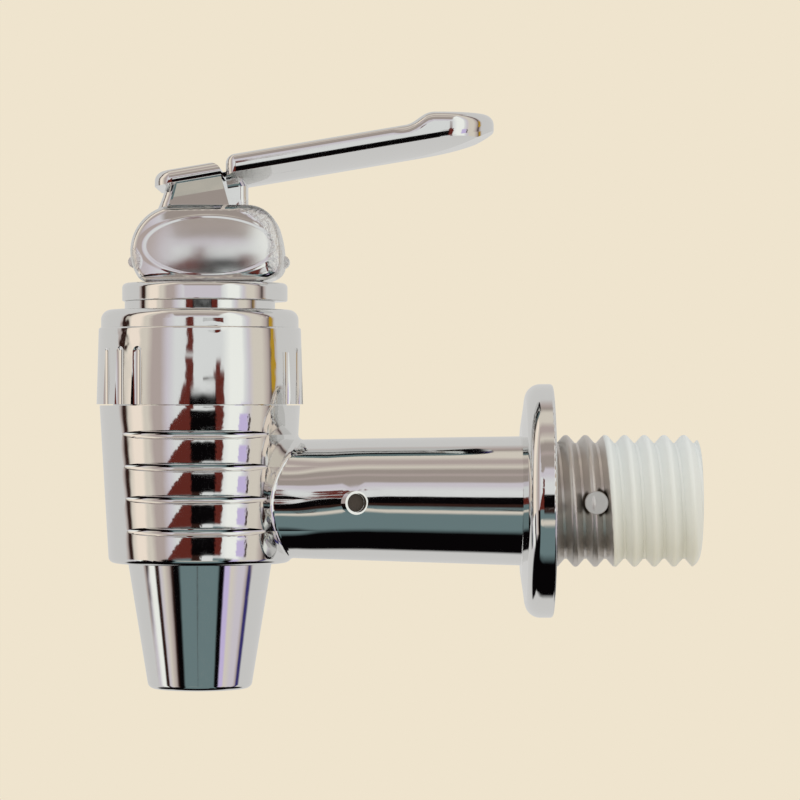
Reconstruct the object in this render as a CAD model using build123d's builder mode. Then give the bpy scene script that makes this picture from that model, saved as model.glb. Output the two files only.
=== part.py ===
from build123d import *
from math import cos, radians, sin, tan
import os

os.makedirs("parts", exist_ok=True)

# Millimetres. The origin is the middle of the flange's seat face, +X runs out along the threaded
# shank and +Z is up. The valve stands upright on its own axis at the far end of the side pipe.

# How far a cutting or buried shape runs past the surface it meets
cut_over = 1.0

# Valve body
valve_axis_to_seat = 42.3
body_top_z = 11.45
body_bottom_z = -7.35
body_top_r = 12.0
body_bottom_r = 10.9
body_edge_r = 0.7
spigot_r = 10.4
spigot_height = 6.95
chamber_r = 8.6
chamber_floor_z = -5.0

# Spout
outlet_z = -22.4
spout_step = 2.3
spout_bottom_r = 6.15
spout_edge_r = 0.75
spout_bore_top_z = -7.6
spout_bore_r = 4.5
seat_hole_r = 4.0
seat_lip_height = 0.7
seat_lip_land = 0.35

# Shallow grooves that run out towards the sides of the body
groove_levels = [8.0, 4.2, 0.4, -3.4]
groove_depth = 0.42
groove_section_r = 0.62
groove_half_angle = 47.0

# Side pipe, drawn slightly thicker and lower towards the flange
pipe_body_r = 6.84
pipe_flange_r = 7.74
pipe_rise = 0.35
pipe_root_fillet = 0.6
inlet_bore_r = 4.4
inlet_overlap = 3.0

# Round boss on the front of the pipe
boss_from_seat = 23.4
boss_r = 1.4
boss_recess_r = 1.12
boss_recess_depth = 0.5
boss_reach = 8.2
boss_lean = 20.0
boss_level = 0.0

# Flange
flange_r = 14.0
flange_rim_width = 1.5
flange_turn = 1.85
flange_depth = 3.8
flange_shoulder_r = 9.2
flange_rim_round = 0.35
flange_relief_r = 8.15
flange_relief_depth = 0.3

# Threaded shank
shank_length = 17.6
thread_crest_r = 7.9
thread_root_r = 6.95
thread_pitch = 2.36
thread_crest_at_top = 1.58
thread_flank_half_width = 1.03
thread_crest_half_width = 0.2
thread_crest_round = 0.4
thread_turns_inside = 2
thread_sunk = 0.35
thread_overrun = 1.5
core_overrun = 3.0
shank_end_round = 1.7
end_face_r = 6.4
pip_from_seat = 4.85
pip_r = 1.38
pip_reach = 7.85

# Screwed bonnet
joint_line = 0.15
bonnet_bottom_r = 12.36
bonnet_band_top_r = 12.1
bonnet_band_top_z = 20.75
bonnet_shoulder_r = 11.82
bonnet_top_z = 22.9
bonnet_top_round = 1.2
bonnet_step_round = 0.25
bonnet_skirt_clearance = 0.08
bonnet_neck_r = 9.0
bonnet_neck_top_z = 23.9
flute_r = 1.15
flute_depth = 0.42
flute_top_z = 18.9
flute_spacing = 13.3
flutes_in_group = 3
flute_group_angles = [-137.0, -17.0, 103.0]
spring_seat_z = 17.4
spring_seat_r = 6.7
guide_r = 3.8
guide_bottom_z = 14.6

# Flat seal between the spigot and the bonnet
seal_thickness = 1.0
seal_edge_gap = 0.1

# Loose wear disc
disc_r = 9.9
disc_gap = 0.02
disc_thickness = 2.16
disc_off_centre = 0.6
disc_hole_r = 3.3
disc_edge_round = 0.55
disc_lower_edge_round = 0.2

# Stem and its soft parts
stem_r = 2.5
stem_running_gap = 0.06
stem_foot_r = 3.4
stem_foot_height = 0.9
stem_foot_z = -2.7
stem_above_pivot = 2.9
stem_top_round = 1.2
ring_level = 18.4
ring_section_r = 0.54
ring_bore_gap = 0.03
ring_groove_width = 1.4
plug_r = 5.7
plug_flange_height = 2.2
plug_neck_r = 4.3
plug_top_z = 0.6
plug_edge_round = 0.4
soft_fit_gap = 0.02
washer_r = 6.2
washer_thickness = 0.8
washer_gap = 0.1

# Return spring
spring_mean_r = 4.95
spring_wire_r = 0.5
spring_turns = 6.0
spring_end_gap = 0.02

# Pivot pin
pin_r = 1.05
pin_front_y = -5.0
pin_back_y = 6.2
pin_running_gap = 0.05
pin_press_gap = 0.01
pin_end_gap = 0.1
pin_chamfer = 0.2

# Lever, measured from the pivot
lever_seat_gap = 0.03
pivot_above_disc = 3.95
cam_lift_per_radian = 6.8
cam_steps = 4
lever_travel = 25.0
base_half_width = 7.0
base_middle_x = 1.1
base_dome_r = 26.0
base_edge_round = 1.1
base_nose = (10.15, -1.7)
base_cheek = (9.5, 2.6)
base_top_right_x = 5.92
base_top_left_x = -2.5
base_top_z = 5.2
base_heel_x = -6.64
base_heel_round = 1.4
nib_left_x = -7.75
nib_right_x = 10.0
nib_z = -1.4
nib_r = 0.75
nib_half_width = 1.6
slot_half_width = 2.7
slot_left = 3.0
slot_right = 5.1
slot_top_r = 3.5
neck_half_width = 5.4
neck_round = 1.3
neck_foot_left = -5.3
neck_foot_right = 4.2
neck_foot_z = 3.6
neck_top_left = -3.5
neck_top_right = 2.6
neck_top_z = 9.3
neck_foot_lean = (0.5, 1)
neck_top_lean = (0.1, 1)
post_half_width = 2.2
post_right = 5.76
post_edge_round = 1.0
plate_half_width = 8.0
plate_slope = 9.6
tab_left = -5.0
tab_right = 2.95
tab_right_top_z = 10.3
tab_thickness = 1.7
tab_corner_round = 2.2
tab_edge_round = 1.3
arm_left = 3.45
arm_left_top_z = 10.95
arm_edge_thickness = 2.2
arm_crown = 1.5
arm_corner_round = 1.2
arm_edge_round = 1.2
step_start = 24.6
step_length = 3.6
paddle_top_z = 16.1
arm_tip = 35.2
tip_bottom_z = 14.2
tip_underside = (-1, -0.6)
paddle_end_round = 6.5

valve_x = -valve_axis_to_seat
disc_bottom_z = bonnet_neck_top_z + disc_gap
disc_top_z = disc_bottom_z + disc_thickness
pivot_z = disc_top_z + pivot_above_disc
valve_axis = Axis((valve_x, 0, 0), (0, 0, 1))
valve_section = Plane(origin=(valve_x, 0, 0), x_dir=(1, 0, 0), z_dir=(0, -1, 0))
lever_side = Plane(origin=(valve_x, 0, pivot_z), x_dir=(1, 0, 0), z_dir=(0, -1, 0))
lever_top = Plane(origin=(valve_x, 0, pivot_z))


def corner(sketch, across, up):
    """The corner of a sketch that lies nearest to a point of it."""
    return sketch.vertices().sort_by_distance((across, up, 0))[0]


# One ridge of the thread, wound from inside the flange to past the free end
ridge_start = thread_crest_at_top - thread_turns_inside * thread_pitch
ridge_height = thread_crest_r - thread_root_r
flank_slope = (thread_flank_half_width - thread_crest_half_width) / ridge_height
ridge_foot = thread_flank_half_width + flank_slope * thread_sunk
with BuildPart() as thread_ridge:
    with BuildLine() as winding:
        Helix(
            pitch=thread_pitch,
            height=shank_length + thread_overrun - ridge_start,
            radius=thread_root_r,
            center=(ridge_start, 0, 0),
            direction=(1, 0, 0),
        )
    with BuildSketch(Plane(origin=winding.line @ 0, x_dir=(1, 0, 0), z_dir=(0, -1, 0))) as ridge:
        with BuildLine():
            Polyline(
                (-ridge_foot, -thread_sunk),
                (-thread_crest_half_width, ridge_height),
                (thread_crest_half_width, ridge_height),
                (ridge_foot, -thread_sunk),
                close=True,
            )
        make_face()
        fillet(ridge.vertices().group_by(Axis.Y)[-1], thread_crest_round)
    sweep(path=winding.line, is_frenet=True)

# Threaded shank with its rounded free end, rooted inside the flange
with BuildPart() as shank:
    with BuildSketch(Plane.YZ.offset(-flange_depth - core_overrun)):
        Circle(thread_root_r)
    extrude(amount=flange_depth + shank_length + 2 * core_overrun)
    add(thread_ridge.part)
    with BuildSketch(Plane.XZ):
        with BuildLine():
            Polyline(
                (shank_length, end_face_r),
                (shank_length, 0),
                (-flange_depth, 0),
                (-flange_depth, thread_crest_r + cut_over),
                (shank_length - shank_end_round, thread_crest_r + cut_over),
                (shank_length - shank_end_round, end_face_r + shank_end_round),
            )
            RadiusArc(
                (shank_length - shank_end_round, end_face_r + shank_end_round),
                (shank_length, end_face_r),
                shank_end_round,
            )
        make_face()
    revolve(axis=Axis.X, mode=Mode.INTERSECT)

# Tap body: valve body, spout, pipe, flange and threaded shank in one moulding
spout_top_r = body_bottom_r - spout_step
spigot_top_z = body_top_z + spigot_height
body_slope = (body_top_r - body_bottom_r) / (body_top_z - body_bottom_z)
groove_edge = 1 - cos(radians(groove_half_angle))
seat_z = chamber_floor_z + seat_lip_height
pipe_run = valve_axis_to_seat - flange_depth
pipe_direction = (-pipe_run, 0, pipe_rise)
pipe_section = Plane(origin=(-flange_depth, 0, 0), x_dir=pipe_direction, z_dir=(0, 1, 0))
pipe_axis = Axis((-flange_depth, 0, 0), pipe_direction)
with BuildPart() as tap_body:
    with BuildSketch(valve_section) as outside:
        with BuildLine():
            Polyline(
                (0, outlet_z),
                (spout_bottom_r, outlet_z),
                (spout_top_r, body_bottom_z),
                (body_bottom_r, body_bottom_z),
                (body_top_r, body_top_z),
                (spigot_r, body_top_z),
                (spigot_r, spigot_top_z),
                (0, spigot_top_z),
                close=True,
            )
        make_face()
        fillet(corner(outside, spout_bottom_r, outlet_z), spout_edge_r)
        fillet(corner(outside, body_bottom_r, body_bottom_z), body_edge_r)
    revolve(axis=valve_axis)

    # Each groove is a ring set off behind the valve axis, so that it runs out at both sides
    for level in groove_levels:
        wall_r = body_bottom_r + body_slope * (level - body_bottom_z)
        off_axis = (2 * wall_r * groove_depth - groove_depth**2) / (
            2 * (wall_r * groove_edge - groove_depth)
        )
        ring_r = wall_r - groove_depth + off_axis + groove_section_r
        with Locations((valve_x, off_axis, level), (valve_x, -off_axis, level)):
            Torus(ring_r, groove_section_r, mode=Mode.SUBTRACT)

    # Side pipe, a cone about its own slightly rising axis, with a small fillet at its root
    with BuildSketch(pipe_section):
        Polygon(
            (0, 0),
            (0, pipe_flange_r),
            (pipe_run, pipe_body_r),
            (pipe_run, 0),
            align=None,
        )
    revolve(axis=pipe_axis)
    pipe_root = tap_body.edges(Select.NEW).filter_by(GeomType.BSPLINE)
    fillet(pipe_root, pipe_root_fillet)

    # Flange, domed towards the valve, with a shallow relief round the root of the shank
    flange_turn_x = -flange_rim_width - flange_turn
    with BuildSketch(Plane.XZ) as dish:
        with BuildLine():
            Polyline(
                (-flange_depth, 0),
                (-flange_relief_depth, 0),
                (-flange_relief_depth, flange_relief_r),
                (0, flange_relief_r),
                (0, flange_r),
                (-flange_rim_width, flange_r),
            )
            TangentArc(
                (-flange_rim_width, flange_r),
                (flange_turn_x, flange_r - flange_turn),
                tangent=(-1, 0),
            )
            Polyline(
                (flange_turn_x, flange_r - flange_turn),
                (-flange_depth, flange_shoulder_r),
                (-flange_depth, 0),
            )
        make_face()
        fillet(corner(dish, 0, flange_r), flange_rim_round)
    revolve(axis=Axis.X)

    add(shank.part)

    # Flat pip on the thread
    with BuildSketch(Plane(origin=(pip_from_seat, -pip_reach, 0), z_dir=(0, 1, 0))):
        Circle(pip_r)
    extrude(amount=pip_reach - thread_root_r + cut_over)

    # Hollow boss on the front of the pipe, leaning towards the flange
    lean = radians(boss_lean)
    boss_origin = (-boss_from_seat, -boss_reach, boss_level)
    boss_plane = Plane(origin=boss_origin, z_dir=(-sin(lean), cos(lean), 0))
    with BuildSketch(boss_plane):
        Circle(boss_r)
    extrude(amount=boss_reach - pipe_body_r + cut_over)
    with BuildSketch(boss_plane):
        Circle(boss_recess_r)
    extrude(amount=boss_recess_depth, mode=Mode.SUBTRACT)

    # Chamber, raised seat lip and spout bore
    with BuildSketch(valve_section):
        with BuildLine():
            Polyline(
                (0, outlet_z - cut_over),
                (spout_bore_r, outlet_z - cut_over),
                (spout_bore_r, spout_bore_top_z),
                (seat_hole_r, spout_bore_top_z + spout_bore_r - seat_hole_r),
                (seat_hole_r, seat_z),
                (seat_hole_r + seat_lip_land, seat_z),
                (seat_hole_r + seat_lip_land + seat_lip_height, chamber_floor_z),
                (chamber_r, chamber_floor_z),
                (chamber_r, spigot_top_z + cut_over),
                (0, spigot_top_z + cut_over),
                close=True,
            )
        make_face()
    revolve(axis=valve_axis, mode=Mode.SUBTRACT)

    # Inlet bore from the shank's free end into the chamber
    with BuildSketch(Plane.YZ.offset(valve_x + chamber_r - inlet_overlap)):
        Circle(inlet_bore_r)
    extrude(amount=valve_axis_to_seat + shank_length, mode=Mode.SUBTRACT)
tap_body.part.label = "tap_body"

# Bonnet: fluted collar and neck in one moulding
bonnet_bottom_z = body_top_z + joint_line
bonnet_roof_z = spigot_top_z + seal_thickness
bonnet_skirt_r = spigot_r + bonnet_skirt_clearance
bonnet_bore_r = stem_r + stem_running_gap
flute_axis_r = bonnet_bottom_r + flute_r - flute_depth
with BuildPart() as bonnet:
    with BuildSketch(valve_section) as bonnet_half:
        with BuildLine():
            Polyline(
                (bonnet_skirt_r, bonnet_bottom_z),
                (bonnet_bottom_r, bonnet_bottom_z),
                (bonnet_band_top_r, bonnet_band_top_z),
                (bonnet_shoulder_r, bonnet_band_top_z),
                (bonnet_shoulder_r, bonnet_top_z),
                (bonnet_neck_r, bonnet_top_z),
                (bonnet_neck_r, bonnet_neck_top_z),
                (bonnet_bore_r, bonnet_neck_top_z),
                (bonnet_bore_r, guide_bottom_z),
                (guide_r, guide_bottom_z),
                (guide_r, spring_seat_z),
                (spring_seat_r, spring_seat_z),
                (spring_seat_r, bonnet_roof_z),
                (bonnet_skirt_r, bonnet_roof_z),
                close=True,
            )
        make_face()
        fillet(corner(bonnet_half, bonnet_shoulder_r, bonnet_top_z), bonnet_top_round)
        fillet(corner(bonnet_half, bonnet_band_top_r, bonnet_band_top_z), bonnet_step_round)
    revolve(axis=valve_axis)
    for group_angle in flute_group_angles:
        first_angle = group_angle - flute_spacing * (flutes_in_group - 1) / 2
        with Locations((valve_x, 0, flute_top_z - flute_r)):
            with PolarLocations(
                flute_axis_r,
                flutes_in_group,
                start_angle=first_angle,
                angular_range=flute_spacing * flutes_in_group,
            ):
                Sphere(flute_r, mode=Mode.SUBTRACT)
                Cylinder(
                    flute_r,
                    flute_top_z - flute_r - bonnet_bottom_z + cut_over,
                    align=(Align.CENTER, Align.CENTER, Align.MAX),
                    mode=Mode.SUBTRACT,
                )
bonnet.part.label = "bonnet"

# Flat seal between the spigot's rim and the bonnet
with BuildPart() as bonnet_seal:
    with BuildSketch(Plane(origin=(valve_x, 0, spigot_top_z))):
        Circle(spigot_r - seal_edge_gap)
        Circle(chamber_r + seal_edge_gap, mode=Mode.SUBTRACT)
    extrude(amount=seal_thickness)
bonnet_seal.part.label = "bonnet_seal"

# Loose wear disc, lying a little off centre on the neck
with BuildPart() as cam_disc:
    with BuildSketch(Plane(origin=(valve_x + disc_off_centre, 0, disc_bottom_z))):
        Circle(disc_r)
        Circle(disc_hole_r, mode=Mode.SUBTRACT)
    extrude(amount=disc_thickness)
    disc_rims = cam_disc.edges().filter_by(GeomType.CIRCLE).group_by(SortBy.RADIUS)[-1]
    fillet(disc_rims.sort_by(Axis.Z)[-1], disc_edge_round)
    fillet(disc_rims.sort_by(Axis.Z)[0], disc_lower_edge_round)
cam_disc.part.label = "cam_disc"

# Stem with its foot, ring groove and eye
ring_centre_r = bonnet_bore_r - ring_bore_gap - ring_section_r
ring_groove_r = ring_centre_r - ring_section_r - soft_fit_gap
stem_top_z = pivot_z + stem_above_pivot
with BuildPart() as stem:
    with BuildSketch(valve_section) as stem_half:
        with BuildLine():
            Polyline(
                (0, stem_foot_z),
                (stem_foot_r, stem_foot_z),
                (stem_foot_r, stem_foot_z + stem_foot_height),
                (stem_r, stem_foot_z + stem_foot_height),
                (stem_r, ring_level - ring_groove_width / 2),
                (ring_groove_r, ring_level - ring_groove_width / 2),
                (ring_groove_r, ring_level + ring_groove_width / 2),
                (stem_r, ring_level + ring_groove_width / 2),
                (stem_r, stem_top_z),
                (0, stem_top_z),
                close=True,
            )
        make_face()
        fillet(corner(stem_half, stem_r, stem_top_z), stem_top_round)
    revolve(axis=valve_axis)
    with BuildSketch(lever_side):
        Circle(pin_r + pin_running_gap)
    extrude(amount=stem_r + cut_over, both=True, mode=Mode.SUBTRACT)
stem.part.label = "stem"

# Sealing ring in the stem's groove
with BuildPart() as stem_o_ring:
    with Locations((valve_x, 0, ring_level)):
        Torus(ring_centre_r, ring_section_r)
stem_o_ring.part.label = "stem_o_ring"

# Soft plug that grips the stem's foot and closes the outlet
with BuildPart() as seat_plug:
    with BuildSketch(valve_section) as plug_half:
        with BuildLine():
            Polyline(
                (0, seat_z),
                (plug_r, seat_z),
                (plug_r, seat_z + plug_flange_height),
                (plug_neck_r, seat_z + plug_flange_height),
                (plug_neck_r, plug_top_z),
                (stem_r + soft_fit_gap, plug_top_z),
                (stem_r + soft_fit_gap, stem_foot_z + stem_foot_height + soft_fit_gap),
                (stem_foot_r + soft_fit_gap, stem_foot_z + stem_foot_height + soft_fit_gap),
                (stem_foot_r + soft_fit_gap, stem_foot_z - soft_fit_gap),
                (0, stem_foot_z - soft_fit_gap),
                close=True,
            )
        make_face()
        fillet(corner(plug_half, plug_r, seat_z), plug_edge_round)
    revolve(axis=valve_axis)
seat_plug.part.label = "seat_plug"

# Washer between the plug and the spring
with BuildPart() as spring_washer:
    with BuildSketch(Plane(origin=(valve_x, 0, plug_top_z))):
        Circle(washer_r)
        Circle(stem_r + washer_gap, mode=Mode.SUBTRACT)
    extrude(amount=washer_thickness)
spring_washer.part.label = "spring_washer"

# Return spring between the washer and the bonnet
spring_bottom_z = plug_top_z + washer_thickness + spring_wire_r + spring_end_gap
spring_height = spring_seat_z - spring_wire_r - spring_end_gap - spring_bottom_z
with BuildPart() as return_spring:
    with BuildLine() as coil:
        Helix(
            pitch=spring_height / spring_turns,
            height=spring_height,
            radius=spring_mean_r,
            center=(valve_x, 0, spring_bottom_z),
        )
    with BuildSketch(Plane(origin=coil.line @ 0, z_dir=coil.line % 0)):
        Circle(spring_wire_r)
    sweep(path=coil.line, is_frenet=True)
return_spring.part.label = "return_spring"

# Pivot pin, pressed into the lever's cheeks and free in the stem's eye
with BuildPart() as pivot_pin:
    with BuildSketch(Plane(origin=(valve_x, pin_front_y, pivot_z), z_dir=(0, 1, 0))):
        Circle(pin_r)
    extrude(amount=pin_back_y - pin_front_y)
    chamfer(pivot_pin.edges().filter_by(GeomType.CIRCLE), pin_chamfer)
pivot_pin.part.label = "pivot_pin"


def cam_point(angle):
    """A point of the heel that lifts the pivot in step with the lever's angle."""
    reach = base_drop + cam_lift_per_radian * angle
    across = reach * sin(angle) + cam_lift_per_radian * cos(angle)
    up = cam_lift_per_radian * sin(angle) - reach * cos(angle)
    return across, up


def is_on_cheek(edge):
    """True for an edge round one of the two domed faces, and false for one between them."""
    return abs(edge.center().Y) > base_half_width / 2


# Lever base: two cheeks with domed faces and a heel that works as the cam
base_drop = pivot_above_disc - lever_seat_gap
travel = radians(lever_travel)
cam_points = [cam_point(travel * step / cam_steps) for step in range(cam_steps + 1)]
with BuildPart() as lever_base:
    with BuildSketch(lever_side) as base_side:
        with BuildLine():
            Line((base_heel_x, -base_drop), cam_points[0])
            Spline(*cam_points, tangents=[(1, 0), (cos(travel), sin(travel))])
            nose = TangentArc(cam_points[-1], base_nose, tangent=(cos(travel), sin(travel)))
            cheek = TangentArc(base_nose, base_cheek, tangent=nose % 1)
            TangentArc(base_cheek, (base_top_right_x, base_top_z), tangent=cheek % 1)
            Line((base_top_right_x, base_top_z), (base_top_left_x, base_top_z))
            TangentArc((base_top_left_x, base_top_z), (base_heel_x, -base_drop), tangent=(-1, 0))
        make_face()
        fillet(corner(base_side, base_heel_x, -base_drop), base_heel_round)
    extrude(amount=base_half_width, both=True)
    for side in (-1, 1):
        with Locations((valve_x + base_middle_x, side * (base_dome_r - base_half_width), pivot_z)):
            Sphere(base_dome_r, mode=Mode.INTERSECT)
    fillet(lever_base.edges().filter_by(is_on_cheek), base_edge_round)

# Neck between the base and the head plate, with a flared left flank
with BuildPart() as lever_neck:
    with BuildSketch(lever_side):
        with BuildLine():
            Spline(
                (neck_foot_left, neck_foot_z),
                (neck_top_left, neck_top_z),
                tangents=[neck_foot_lean, neck_top_lean],
            )
            Polyline(
                (neck_top_left, neck_top_z),
                (neck_top_right, neck_top_z),
                (neck_foot_right, neck_foot_z),
                (neck_foot_left, neck_foot_z),
            )
        make_face()
    extrude(amount=neck_half_width, both=True)
    left_edges = lever_neck.edges().filter_by(GeomType.BSPLINE)
    fillet(left_edges, neck_round)

# Post behind the neck, with a rounded edge
with BuildPart() as lever_post:
    with BuildSketch(lever_top.offset(neck_foot_z)):
        with Locations((post_right / 2, 0)):
            Rectangle(post_right, 2 * post_half_width)
    extrude(amount=neck_top_z - neck_foot_z)
    post_edges = lever_post.edges().filter_by(Axis.Z).group_by(Axis.X)[-1]
    fillet(post_edges, post_edge_round)

# Thumb tab, a sloping plate with a rounded end
slope = radians(plate_slope)
rise = tan(slope)
tab_left_top_z = tab_right_top_z - rise * (tab_right - tab_left)
with BuildPart() as tab:
    with BuildSketch(lever_side):
        Polygon(
            (tab_left, tab_left_top_z),
            (tab_right, tab_right_top_z),
            (tab_right, tab_right_top_z - tab_thickness),
            (tab_left, tab_left_top_z - tab_thickness),
            align=None,
        )
    extrude(amount=plate_half_width, both=True)
    tab_end_edges = tab.edges().filter_by(Axis.Z).group_by(Axis.X)[0]
    fillet(tab_end_edges, tab_corner_round)
    plate_plane = Plane(origin=(valve_x, 0, pivot_z), z_dir=(-sin(slope), 0, cos(slope)))
    tab_top = tab.faces().filter_by(plate_plane).sort_by(Axis.Z)[-1]
    fillet(tab_top.edges(), tab_edge_round)

# Arm with its raised paddle: a side outline, a crowned underside and a rounded end
arm_top_at_step = arm_left_top_z + rise * (step_start - arm_left)
arm_drop = arm_edge_thickness + arm_crown
with BuildPart() as arm:
    with BuildSketch(lever_side):
        with BuildLine():
            Line((arm_left, arm_left_top_z), (step_start, arm_top_at_step))
            Spline(
                (step_start, arm_top_at_step),
                (step_start + step_length, paddle_top_z),
                tangents=[(cos(slope), sin(slope)), (1, 0)],
            )
            Line((step_start + step_length, paddle_top_z), (arm_tip, paddle_top_z))
            Line((arm_tip, paddle_top_z), (arm_tip, tip_bottom_z))
            Spline(
                (arm_tip, tip_bottom_z),
                (step_start, arm_top_at_step - arm_drop),
                tangents=[tip_underside, (-cos(slope), -sin(slope))],
            )
            Line((step_start, arm_top_at_step - arm_drop), (arm_left, arm_left_top_z - arm_drop))
            Line((arm_left, arm_left_top_z - arm_drop), (arm_left, arm_left_top_z))
        make_face()
    extrude(amount=plate_half_width, both=True)
    with BuildSketch(lever_top) as arm_plan:
        with Locations(((arm_left + arm_tip) / 2, 0)):
            Rectangle(arm_tip - arm_left, 2 * plate_half_width)
        fillet(arm_plan.vertices().group_by(Axis.X)[0], arm_corner_round)
        fillet(arm_plan.vertices().group_by(Axis.X)[-1], paddle_end_round)
    extrude(amount=2 * paddle_top_z, mode=Mode.INTERSECT)
    along_arm = Plane(
        origin=(valve_x, 0, pivot_z + arm_left_top_z - rise * arm_left),
        x_dir=(0, 1, 0),
        z_dir=(cos(slope), 0, sin(slope)),
    )
    side_reach = plate_half_width + cut_over
    with BuildSketch(along_arm):
        with BuildLine():
            ThreePointArc(
                (-plate_half_width, -arm_edge_thickness),
                (0, -arm_drop),
                (plate_half_width, -arm_edge_thickness),
            )
            Polyline(
                (plate_half_width, -arm_edge_thickness),
                (side_reach, -arm_edge_thickness),
                (side_reach, paddle_top_z),
                (-side_reach, paddle_top_z),
                (-side_reach, -arm_edge_thickness),
                (-plate_half_width, -arm_edge_thickness),
            )
        make_face()
    extrude(amount=2 * arm_tip, mode=Mode.INTERSECT)
    top_edges = arm.faces().filter_by(lambda face: face.normal_at().Z > cos(2 * slope)).edges()
    edges_across = top_edges.filter_by(Axis.Y).group_by(Axis.X)[:-1]
    fillet(top_edges - [edge for group in edges_across for edge in group], arm_edge_round)

# Lever: base, neck, post, tab and arm in one moulding, slotted for the stem and bored for the pin
with BuildPart() as lever:
    add(lever_base.part)
    add(lever_neck.part)
    add(lever_post.part)
    add(tab.part)
    add(arm.part)
    with BuildSketch(lever_side):
        Circle(slot_top_r)
        with BuildLine():
            Polyline(
                (-slot_left, 0),
                (slot_right, 0),
                (slot_right, -base_drop - cut_over),
                (-slot_left, -base_drop - cut_over),
                close=True,
            )
        make_face()
    extrude(amount=slot_half_width, both=True, mode=Mode.SUBTRACT)
    with BuildSketch(Plane(origin=(valve_x, pin_front_y - pin_end_gap, pivot_z), z_dir=(0, 1, 0))):
        Circle(pin_r + pin_press_gap)
    extrude(amount=2 * base_half_width, mode=Mode.SUBTRACT)
    for nib_x in (nib_left_x, nib_right_x):
        with BuildSketch(lever_side):
            with Locations((nib_x, nib_z)):
                Circle(nib_r)
        extrude(amount=nib_half_width, both=True)
lever.part.label = "lever"

pieces = [
    tap_body,
    bonnet,
    bonnet_seal,
    cam_disc,
    stem,
    stem_o_ring,
    seat_plug,
    spring_washer,
    return_spring,
    pivot_pin,
    lever,
]
for piece in pieces:
    export_step(piece.part, f"parts/{piece.part.label}.step")
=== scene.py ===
"""Gives a lever dispenser tap its plating, plastics, metals and a plain studio."""

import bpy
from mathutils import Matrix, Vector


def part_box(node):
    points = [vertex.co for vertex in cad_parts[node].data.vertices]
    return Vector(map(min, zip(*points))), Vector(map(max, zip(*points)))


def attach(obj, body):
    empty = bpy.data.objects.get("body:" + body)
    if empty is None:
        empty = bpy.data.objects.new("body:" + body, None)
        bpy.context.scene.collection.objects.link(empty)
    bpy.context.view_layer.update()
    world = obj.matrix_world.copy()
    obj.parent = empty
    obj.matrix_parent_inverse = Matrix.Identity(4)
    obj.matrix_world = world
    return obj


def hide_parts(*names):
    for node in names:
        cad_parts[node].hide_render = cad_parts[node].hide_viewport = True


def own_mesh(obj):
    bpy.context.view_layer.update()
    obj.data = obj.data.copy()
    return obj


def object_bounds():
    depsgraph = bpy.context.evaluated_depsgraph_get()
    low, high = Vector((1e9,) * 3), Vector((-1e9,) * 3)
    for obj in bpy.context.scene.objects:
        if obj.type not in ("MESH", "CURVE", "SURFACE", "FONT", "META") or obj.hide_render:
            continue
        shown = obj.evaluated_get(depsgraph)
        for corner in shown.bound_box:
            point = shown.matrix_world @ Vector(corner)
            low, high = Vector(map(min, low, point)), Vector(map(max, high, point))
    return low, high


bl_info = {
    "name": "Dispenser Tap Finishes",
    "version": (1, 0, 0),
    "blender": (4, 5, 0),
    "location": "3D View > Sidebar > Tap",
    "description": "Gives a lever dispenser tap its plating, plastics, metals and a plain studio",
    "category": "Object",
}

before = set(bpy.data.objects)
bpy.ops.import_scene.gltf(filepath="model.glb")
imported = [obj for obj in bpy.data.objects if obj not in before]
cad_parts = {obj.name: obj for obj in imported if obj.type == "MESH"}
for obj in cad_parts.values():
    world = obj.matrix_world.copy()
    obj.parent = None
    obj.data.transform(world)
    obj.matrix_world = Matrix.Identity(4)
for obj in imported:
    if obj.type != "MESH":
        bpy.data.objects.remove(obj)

import math

import bpy
from bpy.props import FloatProperty, FloatVectorProperty, IntProperty, PointerProperty
from mathutils import Vector

MM = 0.001
CAD_BOX = [list(corner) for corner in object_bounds()]
CAD_MIDDLE = [(low + high) / 2 for low, high in zip(*CAD_BOX)]
SPOUT_END_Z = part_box("tap_body")[0].z
BONNET_LOW, BONNET_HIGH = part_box("bonnet")
VALVE_X = (BONNET_LOW.x + BONNET_HIGH.x) / 2

MATH = "ShaderNodeMath"
MAP_RANGE = "ShaderNodeMapRange"
NOISE = "ShaderNodeTexNoise"
CLAMP = "ShaderNodeClamp"
MIX = "ShaderNodeMix"
# A mix of colours: the sockets of its lower and upper colour, and its settings
UNDER, OVER = 6, 7
OF_COLOURS = {"output": 2, "data_type": "RGBA"}


def linear(code):
    """The linear colour of an sRGB hex value."""
    parts = [int(code[i:i + 2], 16) / 255 for i in (1, 3, 5)]
    return [p / 12.92 if p <= 0.04045 else ((p + 0.055) / 1.055) ** 2.4 for p in parts]


def colour(name, description, code):
    """A colour property with the default of an sRGB hex value."""
    return FloatVectorProperty(
        name=name,
        description=description,
        subtype="COLOR",
        size=3,
        min=0.0,
        max=1.0,
        default=linear(code),
    )


def length(name, description, default):
    """A length property in metres."""
    return FloatProperty(
        name=name, description=description, subtype="DISTANCE", unit="LENGTH", default=default
    )


def patch(middle, reach, edge):
    """A rounded patch from millimetres, with a soft edge. A reach of None leaves an axis out."""
    return [m * MM for m in middle], [r and r * MM for r in reach], edge


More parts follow.
